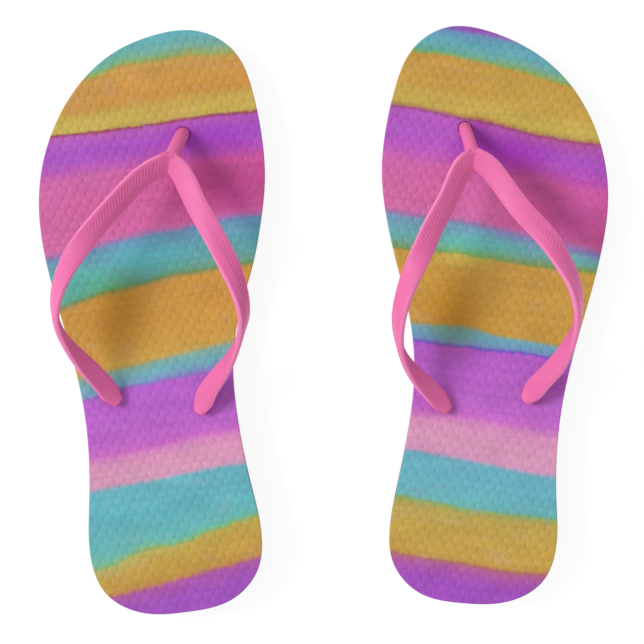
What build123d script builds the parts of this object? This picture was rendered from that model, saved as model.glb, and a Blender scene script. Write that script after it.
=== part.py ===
from build123d import *
import os
from math import cos, sin, radians, pi

# A pair of rubber flip flops, standing flat, toes towards +Y, left shoe at -X.
# Each sole has three layers, cut across the ball of the foot into toe and heel pieces.
# Origin: middle of the pair's footprint, on the floor. Millimetres.

# ---- sole ----------------------------------------------------------------
OUTSOLE_T = 4.0        # rubber outsole
FOOTBED_T = 3.0        # top sheet
FRONT_H = 14.0         # sole height from the ramp forwards
HEEL_H = 18.0          # sole height under the heel
RAMP_FRONT_Y = 0.0     # the sole starts to rise here ...
RAMP_HEEL_Y = -80.0    # ... and is at heel height here
# y stations of the side view, from beyond the toes to behind the heel
PROFILE_YS = [140, RAMP_FRONT_Y, -12, -24, -36, -48, -60, -70, RAMP_HEEL_Y, -140]

# lengths that only have to reach past the sole
BLANK_H = HEEL_H + 5
PROFILE_REACH = 200
HOLE_DEPTH = 30

FLEX_CENTRE = {"left": (-76.5, 50.5), "right": (76.5, 50.5)}   # middle of the ball line
FLEX_TURN = {"left": 10.0, "right": -10.0}                     # its angle to X, degrees
END_KEEP = {"toe": Keep.TOP, "heel": Keep.BOTTOM}              # side of the cut to keep

# ---- pegs and their discs ------------------------------------------------
PEG_R = 2.9            # strap pegs and toe post
HOLE_R = 3.1           # holes they stand in
PLUG_R = 7.2           # disc under each peg
PLUG_T = 2.4
PLUG_FOOT_Z = 0.8      # the discs stay clear of the floor
RECESS_R = 7.6         # recess that takes the disc
RECESS_D = 3.3
PEG_TOP_DROP = 0.6     # peg top below the strap's last station but one

# ---- tread ---------------------------------------------------------------
TREAD_D = 1.2          # groove depth
TREAD_W = 2.2          # groove width
TREAD_PITCH = 7.0
TREAD_ROWS = range(-30, 16)        # rows tried, more than the sole needs
TREAD_EDGE = 8.0                   # plain border round the tread
EDGE_PROBE = TREAD_EDGE * 0.7      # the outline is also measured this far either side of a row
RECESS_MARGIN = 3.0                # plain ring round a recess
MIN_GROOVE = 9                     # shorter grooves are left out

# ---- toe post, leaning back above the sole -------------------------------
POST_OVERLAP_H = 1.2   # upright part ends this far above the sole
LEAN_START_H = 0.6     # leaning part starts this far above the sole
LEAN_MID_H = 8         # its middle section, above the sole ...
LEAN_MID_SHARE = 0.3   # ... and this share of the way to the junction
LEAN_MID_RISE = 18     # z part of the middle section's normal
LEAN_TOP_RISE = 12     # z part of the top section's normal
LEAN_TOP_R = PEG_R + 0.2

# ---- outlines: closed splines seen from above, (x, y) ---------------------
OUTLINES = {
    "left": [
        (-93.1, 119.0), (-75.3, 126.7), (-55.7, 128.5), (-39.4, 119.3), (-31.3, 101.4),
        (-27.4, 82.5), (-25.9, 63.1), (-27.7, 43.6), (-31.3, 24.4), (-36.6, 5.4),
        (-39.8, -13.8), (-39.2, -33.6), (-36.4, -52.8), (-32.2, -72.1), (-27.9, -91.0),
        (-28.9, -110.5), (-41.5, -124.5), (-60.2, -129.4), (-79.8, -129.9), (-96.6, -121.0),
        (-103.5, -102.9), (-103.9, -83.3), (-103.9, -63.6), (-105.6, -44.1), (-109.4, -24.9),
        (-114.5, -5.9), (-120.0, 13.0), (-124.5, 32.1), (-126.5, 51.5), (-124.4, 71.1),
        (-118.1, 89.4), (-107.7, 105.9),
    ],
    "right": [
        (40.1, 121.0), (55.9, 130.4), (75.2, 128.0), (92.6, 120.0), (107.5, 107.6),
        (118.2, 91.5), (124.6, 73.5), (126.7, 54.2), (124.6, 35.1), (120.2, 16.2),
        (114.9, -2.4), (109.8, -21.1), (105.8, -40.0), (103.7, -59.3), (103.4, -78.7),
        (103.6, -98.1), (97.3, -116.0), (80.7, -125.1), (61.4, -125.5), (42.7, -121.0),
        (30.7, -106.8), (30.1, -87.4), (33.8, -68.6), (37.6, -49.4), (40.1, -30.3),
        (40.0, -10.9), (36.9, 8.2), (32.1, 27.1), (28.0, 46.0), (26.0, 65.2),
        (27.7, 84.6), (31.9, 103.3),
    ],
}

# ---- straps --------------------------------------------------------------
STRAP_T = 3.4
POST = {"left": (-62.3, 83.0), "right": (63.0, 85.3)}
JUNCTION = {"left": (-67.5, 70.0), "right": (66.2, 71.4)}   # where post and branches meet
POST_TOP_Z = {"left": 29.8, "right": 31.3}                  # the post ends inside the junction
# One peg per branch, the branch on the -X side first.
PEGS = {
    "left": [(-92.6, -33.8), (-52.9, -38.2)],
    "right": [(53.4, -37.2), (91.4, -33.6)],
}
# Turns "across the strap" towards the outside of the loop, in the same branch order.
OUTWARD = (1, -1)
# Stations from the junction back to the peg: (x, y, z, width, roll). Roll is how far, in
# degrees, the upper face leans outwards from facing up; past 90 it faces downwards.
BRANCHES = {
    "left": [
        [(-67.1, 70.5, 30.0, 9.8, -30), (-79.0, 63.2, 33.0, 10.3, -31),
         (-87.8, 54.3, 36.0, 10.4, -30), (-98.2, 42.4, 39.0, 10.0, -23),
         (-104.2, 34.9, 40.3, 9.8, -8), (-111.5, 23.7, 41.3, 9.8, 32),
         (-115.2, 14.9, 41.4, 9.8, 53), (-117.0, 6.8, 40.4, 9.8, 70),
         (-116.5, -1.4, 38.0, 9.8, 89), (-113.7, -8.1, 35.0, 9.8, 102),
         (-109.1, -14.7, 31.4, 9.8, 121), (-103.5, -21.2, 27.2, 9.8, 142),
         (-93.1, -33.7, 19.3, 8.6, 160), (-91.1, -35.9, 18.4, 6.0, 160)],
        [(-66.7, 69.8, 30.0, 10.0, -26), (-63.7, 66.2, 31.4, 10.3, -28),
         (-59.8, 59.8, 33.0, 10.5, -26), (-56.2, 51.9, 35.2, 10.1, -20),
         (-44.1, 30.0, 40.4, 9.8, 8), (-38.4, 17.9, 41.4, 9.8, 34),
         (-35.7, 9.6, 41.3, 9.8, 52), (-34.7, 2.3, 39.9, 9.8, 68),
         (-35.8, -4.9, 36.7, 9.8, 86), (-38.0, -11.3, 33.2, 9.8, 100),
         (-41.5, -18.0, 29.6, 9.8, 117), (-46.3, -24.8, 25.8, 9.8, 140),
         (-51.0, -31.6, 22.2, 9.6, 156), (-53.6, -37.5, 19.5, 8.6, 159),
         (-54.8, -40.3, 18.7, 6.0, 159)],
    ],
    "right": [
        [(65.6, 71.7, 30.0, 10.2, -24), (62.6, 68.6, 31.0, 10.4, -28),
         (60.0, 64.8, 32.1, 10.3, -30), (55.2, 54.1, 35.2, 10.2, -30),
         (48.2, 41.0, 38.6, 10.0, -22), (43.6, 30.8, 40.7, 9.8, -4),
         (34.9, 9.6, 41.0, 9.8, 47), (33.2, 2.2, 39.7, 9.8, 58),
         (33.9, -12.4, 33.7, 9.8, 92), (37.2, -19.5, 29.5, 9.8, 112),
         (42.4, -26.0, 25.5, 9.8, 136), (48.4, -32.2, 21.9, 9.6, 155),
         (52.8, -36.9, 19.4, 8.6, 159), (54.9, -39.2, 18.6, 6.0, 159)],
        [(66.5, 70.9, 30.0, 10.4, -22), (71.2, 68.4, 31.4, 10.5, -26),
         (76.9, 62.0, 33.0, 10.2, -22), (87.4, 47.5, 37.0, 9.8, -6),
         (97.3, 36.6, 39.4, 9.8, 8), (100.9, 31.7, 40.4, 9.8, 19),
         (106.1, 22.9, 41.3, 9.8, 39), (109.8, 14.6, 41.4, 9.8, 55),
         (109.3, -7.2, 35.2, 9.8, 104), (106.1, -14.3, 31.9, 9.8, 126),
         (101.5, -21.2, 28.4, 9.8, 147), (95.7, -27.8, 23.4, 9.6, 158),
         (91.5, -33.1, 19.4, 8.6, 160), (89.9, -35.2, 18.4, 6.0, 160)],
    ],
}


# ---- side view: height at y of each boundary between layers ---------------
def top_z(y):
    """Top face of the footbed."""
    if y >= RAMP_FRONT_Y:
        return FRONT_H
    if y <= RAMP_HEEL_Y:
        return HEEL_H
    ramp_share = (RAMP_FRONT_Y - y) / (RAMP_FRONT_Y - RAMP_HEEL_Y)
    return FRONT_H + (HEEL_H - FRONT_H) * (1 - cos(pi * ramp_share)) / 2


def midsole_top_z(y):
    return top_z(y) - FOOTBED_T


def outsole_top_z(y):
    return OUTSOLE_T


def floor_z(y):
    return 0.0


# ---- sole pieces ---------------------------------------------------------
def flex_plane(side):
    """Upright plane through the ball line; its normal points towards the toes."""
    x, y = FLEX_CENTRE[side]
    turn = radians(FLEX_TURN[side])
    return Plane(origin=(x, y, 0), x_dir=(cos(turn), sin(turn), 0),
                 z_dir=(-sin(turn), cos(turn), 0))


def peg_spots(side, end):
    return [POST[side]] if end == "toe" else PEGS[side]


def sole_layer(side, end, low, high):
    """Toe or heel piece of the layer between two side-view curves, with its peg holes."""
    with BuildPart() as blank:
        with BuildSketch(Plane.XY):
            with BuildLine():
                Spline(*OUTLINES[side], periodic=True)
            make_face()
        extrude(amount=BLANK_H)
        upper = [(y, high(y)) for y in PROFILE_YS]
        lower = [(y, low(y)) for y in reversed(PROFILE_YS)]
        with BuildSketch(Plane.YZ):
            with BuildLine():
                Polyline(*upper, *lower, close=True)
            make_face()
        extrude(amount=PROFILE_REACH, both=True, mode=Mode.INTERSECT)
        split(bisect_by=flex_plane(side), keep=END_KEEP[end])

    with BuildPart() as piece:
        add(blank.part)
        with BuildSketch(Plane.XY):
            with Locations(*peg_spots(side, end)):
                Circle(HOLE_R)
        extrude(amount=HOLE_DEPTH, mode=Mode.SUBTRACT)
    return piece.part


def tread_grooves(side, end):
    """Grooves parallel to the ball line, inside a plain border and clear of the recesses.

    Returns (middle u, v, length): u runs along the ball line, v towards the toes.
    """
    centre_x, centre_y = FLEX_CENTRE[side]
    turn = radians(FLEX_TURN[side])

    def to_ball_axes(point):
        dx, dy = point[0] - centre_x, point[1] - centre_y
        return dx * cos(turn) + dy * sin(turn), -dx * sin(turn) + dy * cos(turn)

    ring = [to_ball_axes(point) for point in OUTLINES[side]]
    recesses = [to_ball_axes(spot) for spot in peg_spots(side, end)]

    def span_at(level):
        """Where the outline crosses a level: (low u, high u), or None."""
        crossings = []
        for (u1, v1), (u2, v2) in zip(ring, ring[1:] + ring[:1]):
            if (v1 - level) * (v2 - level) < 0:
                crossings.append(u1 + (level - v1) / (v2 - v1) * (u2 - u1))
        return (min(crossings), max(crossings)) if len(crossings) == 2 else None

    reach = RECESS_R + RECESS_MARGIN
    grooves = []
    for row in TREAD_ROWS:
        v = (row + 0.5) * TREAD_PITCH
        spans = [span_at(v + shift) for shift in (-EDGE_PROBE, 0, EDGE_PROBE)]
        if (v > 0) != (end == "toe") or None in spans:
            continue
        runs = [(max(low for low, _ in spans) + TREAD_EDGE,
                 min(high for _, high in spans) - TREAD_EDGE)]
        for hole_u, hole_v in recesses:
            if abs(hole_v - v) < reach:
                half = (reach ** 2 - (hole_v - v) ** 2) ** 0.5 + TREAD_W
                before = [(low, min(high, hole_u - half)) for low, high in runs]
                after = [(max(low, hole_u + half), high) for low, high in runs]
                runs = before + after
        grooves += [((low + high) / 2, v, high - low)
                    for low, high in runs if high - low > MIN_GROOVE]
    return grooves


def outsole_piece(side, end):
    """Outsole with recesses for the strap discs and blind tread grooves."""
    ball = flex_plane(side)
    with BuildPart() as outsole:
        add(sole_layer(side, end, floor_z, outsole_top_z))
        with BuildSketch(Plane.XY):
            with Locations(*peg_spots(side, end)):
                Circle(RECESS_R)
        extrude(amount=RECESS_D, mode=Mode.SUBTRACT)
        with BuildSketch(Plane(origin=ball.origin, x_dir=ball.x_dir, z_dir=(0, 0, 1))):
            for u, v, length in tread_grooves(side, end):
                with Locations((u, v)):
                    SlotOverall(length, TREAD_W)
        extrude(amount=TREAD_D, mode=Mode.SUBTRACT)
    return outsole.part


# ---- strap ---------------------------------------------------------------
def strap_planes(branch, outward):
    """Section planes along one branch: x across the strap, z along it."""
    points = [Vector(*station[:3]) for station in branch]
    planes = []
    for i, point in enumerate(points):
        roll = radians(branch[i][4])
        along = (points[min(i + 1, len(points) - 1)] - points[max(i - 1, 0)]).normalized()
        # across: level, towards the outside of the loop, then rolled about along
        across = along.cross(Vector(0, 0, 1)).normalized() * outward
        normal = (across.cross(along) * outward).normalized()
        x_dir = across * cos(roll) - normal * sin(roll)
        planes.append(Plane(origin=point, x_dir=x_dir, z_dir=along))
    return planes


def strap_band(branch, outward):
    """One branch: a twisted flat band."""
    with BuildPart() as band:
        for plane, station in zip(strap_planes(branch, outward), branch):
            with BuildSketch(plane):
                Rectangle(station[3], STRAP_T)
        loft()
    return band.part


def strap_piece(side):
    """One-piece strap: toe post, two branches, and a disc under the post and each peg."""
    x, y = POST[side]
    junction_x, junction_y = JUNCTION[side]
    lean_x, lean_y = junction_x - x, junction_y - y
    middle = (x + lean_x * LEAN_MID_SHARE, y + lean_y * LEAN_MID_SHARE, FRONT_H + LEAN_MID_H)
    top = (junction_x, junction_y, POST_TOP_Z[side])
    bands = [strap_band(branch, outward) for branch, outward in zip(BRANCHES[side], OUTWARD)]

    with BuildPart() as strap:
        # toe post, upright in the sole, and its disc
        post_length = FRONT_H + POST_OVERLAP_H - PLUG_FOOT_Z
        for radius, height in ((PEG_R, post_length), (PLUG_R, PLUG_T)):
            with BuildSketch(Plane.XY.offset(PLUG_FOOT_Z)):
                with Locations((x, y)):
                    Circle(radius)
            extrude(amount=height)

        # toe post, leaning back up to the junction
        with BuildSketch(Plane.XY.offset(FRONT_H + LEAN_START_H)):
            with Locations((x, y)):
                Circle(PEG_R)
        with BuildSketch(Plane(origin=middle, z_dir=(lean_x, lean_y, LEAN_MID_RISE))):
            Circle(PEG_R)
        with BuildSketch(Plane(origin=top, z_dir=(lean_x, lean_y, LEAN_TOP_RISE))):
            Circle(LEAN_TOP_R)
        loft()

        for band in bands:
            add(band)

        # pegs, from inside each branch's end down to their discs
        for branch, spot in zip(BRANCHES[side], PEGS[side]):
            peg_length = branch[-2][2] - PEG_TOP_DROP - PLUG_FOOT_Z
            for radius, height in ((PEG_R, peg_length), (PLUG_R, PLUG_T)):
                with BuildSketch(Plane.XY.offset(PLUG_FOOT_Z)):
                    with Locations(spot):
                        Circle(radius)
                extrude(amount=height)
    return strap.part


def save(part, name):
    part.label = name
    export_step(part, f"parts/{name}.step")


os.makedirs("parts", exist_ok=True)

for side in ("left", "right"):
    for end in ("toe", "heel"):
        save(sole_layer(side, end, midsole_top_z, top_z), f"{side}_footbed_{end}")
        save(sole_layer(side, end, outsole_top_z, midsole_top_z), f"{side}_midsole_{end}")
        save(outsole_piece(side, end), f"{side}_outsole_{end}")
    save(strap_piece(side), f"{side}_strap")
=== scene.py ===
import math

import bpy
import numpy as np
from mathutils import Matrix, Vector
from mathutils.geometry import delaunay_2d_cdt
from mathutils.kdtree import KDTree


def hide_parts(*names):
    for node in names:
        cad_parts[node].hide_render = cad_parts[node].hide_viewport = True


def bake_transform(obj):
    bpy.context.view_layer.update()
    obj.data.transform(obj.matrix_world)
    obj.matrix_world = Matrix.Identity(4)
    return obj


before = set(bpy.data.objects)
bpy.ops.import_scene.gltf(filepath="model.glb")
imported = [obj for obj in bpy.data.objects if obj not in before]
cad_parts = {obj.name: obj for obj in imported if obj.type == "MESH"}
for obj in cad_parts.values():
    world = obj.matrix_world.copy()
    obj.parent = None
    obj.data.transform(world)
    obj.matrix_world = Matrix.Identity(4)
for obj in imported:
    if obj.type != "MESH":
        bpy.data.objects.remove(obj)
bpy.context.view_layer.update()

SIDES = ("left", "right")

# ------------------------------------------------------------------ dimensions
OUTSOLE_T, FOOTBED_T, FRONT_H, HEEL_H = 4.0, 3.0, 14.0, 18.0
RAMP_HEEL_Y = -80.0
FLEX_CENTRE = {"left": (-76.5, 50.5), "right": (76.5, 50.5)}
FLEX_TURN = {"left": 10.0, "right": -10.0}
PEG_R, HOLE_R, PLUG_R, PLUG_T, PLUG_FOOT_Z = 2.9, 3.1, 7.2, 2.4, 0.8
RECESS_R, RECESS_D = 7.6, 3.3
TREAD_D, TREAD_W, TREAD_PITCH, TREAD_EDGE = 1.2, 2.2, 7.0, 8.0

OUTLINE = {
    "left": [
        (-93.1, 119.0), (-75.3, 126.7), (-55.7, 128.5), (-39.4, 119.3), (-31.3, 101.4), (-27.4, 82.5),
        (-25.9, 63.1), (-27.7, 43.6), (-31.3, 24.4), (-36.6, 5.4), (-39.8, -13.8), (-39.2, -33.6),
        (-36.4, -52.8), (-32.2, -72.1), (-27.9, -91.0), (-28.9, -110.5), (-41.5, -124.5), (-60.2, -129.4),
        (-79.8, -129.9), (-96.6, -121.0), (-103.5, -102.9), (-103.9, -83.3), (-103.9, -63.6), (-105.6, -44.1),
        (-109.4, -24.9), (-114.5, -5.9), (-120.0, 13.0), (-124.5, 32.1), (-126.5, 51.5), (-124.4, 71.1),
        (-118.1, 89.4), (-107.7, 105.9),
    ],
    "right": [
        (40.1, 121.0), (55.9, 130.4), (75.2, 128.0), (92.6, 120.0), (107.5, 107.6), (118.2, 91.5),
        (124.6, 73.5), (126.7, 54.2), (124.6, 35.1), (120.2, 16.2), (114.9, -2.4), (109.8, -21.1),
        (105.8, -40.0), (103.7, -59.3), (103.4, -78.7), (103.6, -98.1), (97.3, -116.0), (80.7, -125.1),
        (61.4, -125.5), (42.7, -121.0), (30.7, -106.8), (30.1, -87.4), (33.8, -68.6), (37.6, -49.4),
        (40.1, -30.3), (40.0, -10.9), (36.9, 8.2), (32.1, 27.1), (28.0, 46.0), (26.0, 65.2),
        (27.7, 84.6), (31.9, 103.3),
    ],
}
POST = {"left": (-62.3, 83.0), "right": (63.0, 85.3)}
JUNCTION = {"left": (-67.5, 70.0, 30.0), "right": (66.2, 71.4, 30.0)}
PEGS = {
    "left": [(-92.6, -33.8), (-52.9, -38.2)],
    "right": [(53.4, -37.2), (91.4, -33.6)],
}
# x, y, z, width, roll of the band, from the junction to its peg
BRANCHES = {
    "left": [
        [(-67.4, 70.2, 30.0, 9.8, -30), (-79.0, 63.2, 33.0, 10.3, -31), (-87.8, 54.3, 36.0, 10.4, -30), (-98.2, 42.4, 39.0, 10.0, -23),
         (-104.2, 34.9, 40.3, 9.8, -8), (-111.5, 23.7, 41.3, 9.8, 32), (-115.2, 14.9, 41.4, 9.8, 53), (-117.0, 6.8, 40.4, 9.8, 70),
         (-116.5, -1.4, 38.0, 9.8, 89), (-113.7, -8.1, 35.0, 9.8, 102), (-109.1, -14.7, 31.4, 9.8, 121), (-103.5, -21.2, 27.2, 9.8, 142),
         (-97.1, -28.5, 22.3, 9.6, 157), (-93.1, -33.7, 19.3, 8.6, 160), (-91.1, -35.9, 18.4, 6.0, 160)],
        [(-67.2, 69.6, 30.0, 10.0, -30), (-63.7, 66.2, 31.4, 10.3, -28), (-59.8, 59.8, 33.0, 10.5, -26), (-56.2, 51.9, 35.2, 10.1, -20),
         (-49.1, 39.2, 38.6, 9.8, -6), (-44.1, 30.0, 40.4, 9.8, 8), (-38.4, 17.9, 41.4, 9.8, 34), (-35.7, 9.6, 41.3, 9.8, 52),
         (-34.7, 2.3, 39.9, 9.8, 68), (-35.8, -4.9, 36.7, 9.8, 86), (-38.0, -11.3, 33.2, 9.8, 100), (-41.5, -18.0, 29.6, 9.8, 117),
         (-46.3, -24.8, 25.8, 9.8, 140), (-51.0, -31.6, 22.2, 9.6, 156), (-53.6, -37.5, 19.5, 8.6, 159), (-54.8, -40.3, 18.7, 6.0, 159)],
    ],
    "right": [
        [(66.0, 71.3, 30.0, 10.2, -28), (62.6, 68.6, 31.0, 10.4, -28), (60.0, 64.8, 32.1, 10.3, -30), (55.2, 54.1, 35.2, 10.2, -30),
         (48.2, 41.0, 38.6, 10.0, -22), (43.6, 30.8, 40.7, 9.8, -4), (37.7, 17.9, 41.5, 9.8, 34), (34.9, 9.6, 41.0, 9.8, 47),
         (33.2, 2.2, 39.7, 9.8, 58), (32.8, -5.4, 36.9, 9.8, 73), (33.9, -12.4, 33.7, 9.8, 92), (37.2, -19.5, 29.5, 9.8, 112),
         (42.4, -26.0, 25.5, 9.8, 136), (48.4, -32.2, 21.9, 9.6, 155), (52.8, -36.9, 19.4, 8.6, 159), (54.9, -39.2, 18.6, 6.0, 159)],
        [(66.4, 71.2, 30.0, 10.4, -26), (71.2, 68.4, 31.4, 10.5, -26), (76.9, 62.0, 33.0, 10.2, -22), (87.4, 47.5, 37.0, 9.8, -6),
         (97.3, 36.6, 39.4, 9.8, 8), (100.9, 31.7, 40.4, 9.8, 19), (106.1, 22.9, 41.3, 9.8, 39), (109.8, 14.6, 41.4, 9.8, 55),
         (111.2, 7.0, 40.3, 9.8, 70), (111.1, -0.6, 38.3, 9.8, 86), (109.3, -7.2, 35.2, 9.8, 104), (106.1, -14.3, 31.9, 9.8, 126),
         (101.5, -21.2, 28.4, 9.8, 147), (95.7, -27.8, 23.4, 9.6, 158), (91.5, -33.1, 19.4, 8.6, 160), (89.9, -35.2, 18.4, 6.0, 160)],
    ],
}

# ------------------------------------------------------------------ the print
# Brushed stripes across each shoe, from the toe to the heel. Each edge is the
# line between two stripes; each stripe has its colours where it starts, in its
# middle and where it ends, on the shoe's left and on its right (sRGB, 0-255).
EDGES = {
    "left": [
        [(-106.2, 107.5), (-98.1, 109.6), (-91.9, 113.0), (-85.7, 114.4), (-73.4, 115.9), (-61.0, 118.0), (-48.7, 118.3), (-40.0, 119.5)],
        [(-120.9, 82.0), (-109.6, 82.9), (-101.0, 83.5), (-92.5, 84.9), (-83.9, 86.0), (-75.4, 87.5), (-62.0, 89.6), (-49.7, 91.4), (-41.1, 92.1), (-29.9, 93.3)],
        [(-125.0, 62.8), (-113.1, 64.3), (-103.8, 66.1), (-94.6, 67.7), (-80.0, 69.2), (-48.2, 72.7), (-39.0, 73.9), (-27.0, 75.2)],
        [(-123.0, 27.6), (-110.0, 30.6), (-84.2, 37.6), (-75.1, 39.7), (-66.1, 40.6), (-50.0, 44.5), (-39.1, 46.7), (-27.2, 47.8)],
        [(-116.0, 5.4), (-105.6, 9.2), (-97.7, 12.1), (-89.7, 13.6), (-81.8, 15.5), (-73.9, 17.8), (-66.0, 20.2), (-58.1, 21.3), (-32.0, 25.4)],
        [(-109.8, -25.5), (-87.9, -20.6), (-74.7, -17.2), (-61.5, -14.1), (-48.3, -10.6), (-39.6, -8.2)],
        [(-106.7, -35.6), (-85.9, -29.4), (-73.4, -26.9), (-60.9, -24.7), (-40.0, -21.0)],
        [(-103.6, -63.0), (-89.2, -60.1), (-76.9, -58.0), (-64.5, -54.3), (-52.2, -51.5), (-38.0, -49.4)],
        [(-103.6, -76.1), (-88.6, -73.1), (-75.6, -71.1), (-62.7, -68.3), (-49.7, -65.6), (-34.7, -63.3)],
        [(-101.0, -111.0), (-92.2, -108.4), (-85.5, -104.2), (-78.7, -101.2), (-65.3, -99.3), (-58.5, -96.9), (-51.8, -93.7), (-45.0, -91.9), (-38.3, -88.9), (-29.4, -86.4)],
        [(-93.8, -122.3), (-79.4, -118.9), (-66.9, -115.8), (-54.5, -112.1), (-42.1, -108.8), (-27.6, -104.5)],
    ],
    "right": [
        [(53.2, 130.1), (80.7, 124.8)],
        [(40.3, 120.0), (48.8, 119.1), (61.6, 116.9), (74.5, 114.1), (87.3, 111.2), (100.2, 107.4), (108.7, 104.8)],
        [(30.5, 96.4), (41.9, 94.4), (50.6, 92.6), (76.5, 87.3), (85.1, 85.2), (93.8, 82.6), (102.4, 81.2), (111.0, 79.6), (122.4, 78.8)],
        [(27.0, 75.2), (39.3, 72.5), (48.6, 71.3), (75.0, 67.5), (95.1, 65.0), (104.4, 62.7), (113.7, 60.2), (126.0, 58.0)],
        [(28.3, 48.7), (39.9, 46.7), (66.3, 43.3), (75.1, 41.5), (119.2, 30.8), (124.0, 29.0)],
        [(31.0, 32.9), (59.1, 30.3), (76.0, 27.5), (93.0, 24.6), (118.4, 21.4), (122.0, 20.8)],
        [(39.4, -0.6), (47.9, -2.0), (60.7, -2.4), (67.2, -3.5), (73.6, -6.0), (80.0, -7.3), (92.9, -9.4), (108.0, -12.0)],
        [(40.0, -9.1), (49.0, -10.2), (62.1, -11.9), (75.3, -13.6), (88.4, -14.4), (98.0, -16.4), (110.0, -18.0)],
        [(39.0, -41.4), (59.2, -43.1), (71.4, -45.4), (83.6, -47.5), (95.7, -49.7), (104.0, -50.7)],
        [(36.3, -57.3), (50.9, -60.0), (63.5, -62.3), (76.1, -64.8), (88.7, -67.7), (103.3, -70.0)],
        [(32.3, -78.1), (47.8, -80.8), (61.1, -83.9), (74.5, -85.4), (87.9, -87.3), (103.3, -89.0)],
        [(30.5, -103.0), (45.4, -105.8), (58.3, -107.7), (71.1, -109.8), (84.0, -112.3), (98.9, -112.9)],
    ],
}
TEAL, MUSTARD, PURPLE, MAGENTA, PINK = (102, 174, 182), (198, 156, 72), (180, 95, 197), (207, 107, 163), (214, 150, 182)
# (left start, middle, end), (right start, middle, end), softness of the edge below it, colour of that edge or None
STRIPES = {
    "left": [
        ((112, 178, 172), TEAL, (122, 180, 132), (112, 178, 172), TEAL, (150, 166, 108), 2.4, (150, 168, 96)),
        ((198, 154, 80), (200, 149, 74), (197, 177, 88), (198, 154, 78), (201, 146, 72), (196, 172, 84), 1.8, (150, 70, 84)),
        ((184, 98, 178), (169, 87, 195), (186, 94, 188), (178, 90, 182), (167, 80, 193), (186, 88, 180), 4.4, None),
        # painted shadow: this magenta stripe's right-hand colours are darker partly from the strap's shadow falling
        # there
        ((205, 108, 168), (207, 107, 163), (208, 115, 169), (198, 88, 152), (194, 80, 144), (204, 102, 160), 2.6, (168, 118, 172)),
        ((112, 146, 182), (100, 170, 177), (100, 166, 140), (110, 144, 182), (98, 168, 177), (108, 160, 128), 2.6, (118, 146, 92)),
        ((196, 148, 74), (201, 153, 70), (198, 164, 80), (200, 148, 68), (203, 153, 71), (200, 162, 78), 1.5, (176, 164, 104)),
        ((146, 171, 141), (117, 177, 186), (122, 156, 194), (132, 174, 152), (112, 176, 186), (130, 140, 197), 1.8, (150, 112, 196)),
        ((178, 100, 199), (184, 100, 198), (202, 108, 192), (176, 96, 198), (182, 100, 199), (200, 106, 194), 2.6, None),
        ((213, 138, 184), (215, 151, 181), (206, 152, 183), (213, 136, 186), (215, 150, 181), (207, 152, 183), 1.5, (152, 166, 188)),
        ((107, 175, 188), (99, 177, 186), (122, 182, 148), (105, 174, 188), (99, 176, 186), (110, 182, 160), 2.6, (142, 176, 104)),
        ((180, 176, 108), (192, 157, 75), (188, 144, 74), (187, 166, 84), (195, 158, 74), (187, 142, 74), 2.2, (186, 118, 104)),
        ((174, 90, 160), (162, 84, 185), (160, 84, 186), (172, 90, 164), (160, 84, 186), (160, 84, 186), 0.0, None),
    ],
    "right": [
        ((184, 92, 172), (184, 92, 172), (134, 84, 178), (186, 92, 170), (186, 92, 170), (160, 88, 176), 1.5, None),
        ((106, 140, 182), (100, 167, 178), (103, 170, 143), (102, 158, 180), (98, 168, 178), (128, 168, 124), 2.2, (140, 164, 92)),
        ((194, 148, 72), (196, 154, 74), (194, 168, 82), (190, 152, 72), (195, 158, 74), (194, 170, 82), 1.8, (150, 66, 82)),
        ((180, 93, 187), (177, 91, 195), (192, 94, 190), (174, 90, 150), (169, 82, 189), (180, 78, 174), 4.8, None),
        # painted shadow: this magenta stripe's right-hand colours are darker partly from the strap's shadow falling
        # there
        ((205, 104, 172), (207, 108, 164), (208, 112, 168), (200, 92, 158), (194, 84, 146), (198, 96, 152), 3.0, (160, 120, 174)),
        ((118, 157, 185), (106, 171, 176), (112, 166, 132), (134, 126, 181), (106, 168, 174), (121, 158, 112), 2.4, (124, 152, 92)),
        ((196, 156, 76), (198, 154, 68), (198, 150, 66), (194, 152, 74), (196, 154, 72), (197, 153, 70), 1.5, (164, 156, 100)),
        ((116, 166, 180), (108, 166, 186), (119, 138, 190), (118, 172, 176), (110, 160, 188), (119, 140, 190), 1.7, (116, 92, 196)),
        ((176, 92, 196), (181, 98, 196), (196, 106, 195), (176, 94, 196), (182, 100, 196), (196, 106, 195), 3.8, None),
        ((212, 140, 184), (212, 150, 182), (208, 150, 184), (210, 138, 186), (212, 149, 182), (208, 150, 184), 1.5, (152, 160, 188)),
        ((106, 172, 189), (105, 175, 189), (108, 177, 176), (106, 172, 189), (104, 174, 189), (108, 177, 172), 2.4, (136, 168, 104)),
        ((174, 160, 88), (194, 161, 76), (190, 150, 76), (176, 158, 86), (193, 160, 76), (190, 148, 76), 2.4, (176, 108, 104)),
        ((176, 94, 150), (162, 82, 189), (161, 81, 189), (178, 96, 146), (162, 82, 188), (161, 81, 189), 0.0, None),
    ],
}

# the stripe painted in two tones, its last colour over its whole lower part
TWO_TONE = {"left": 1, "right": 2}
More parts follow.
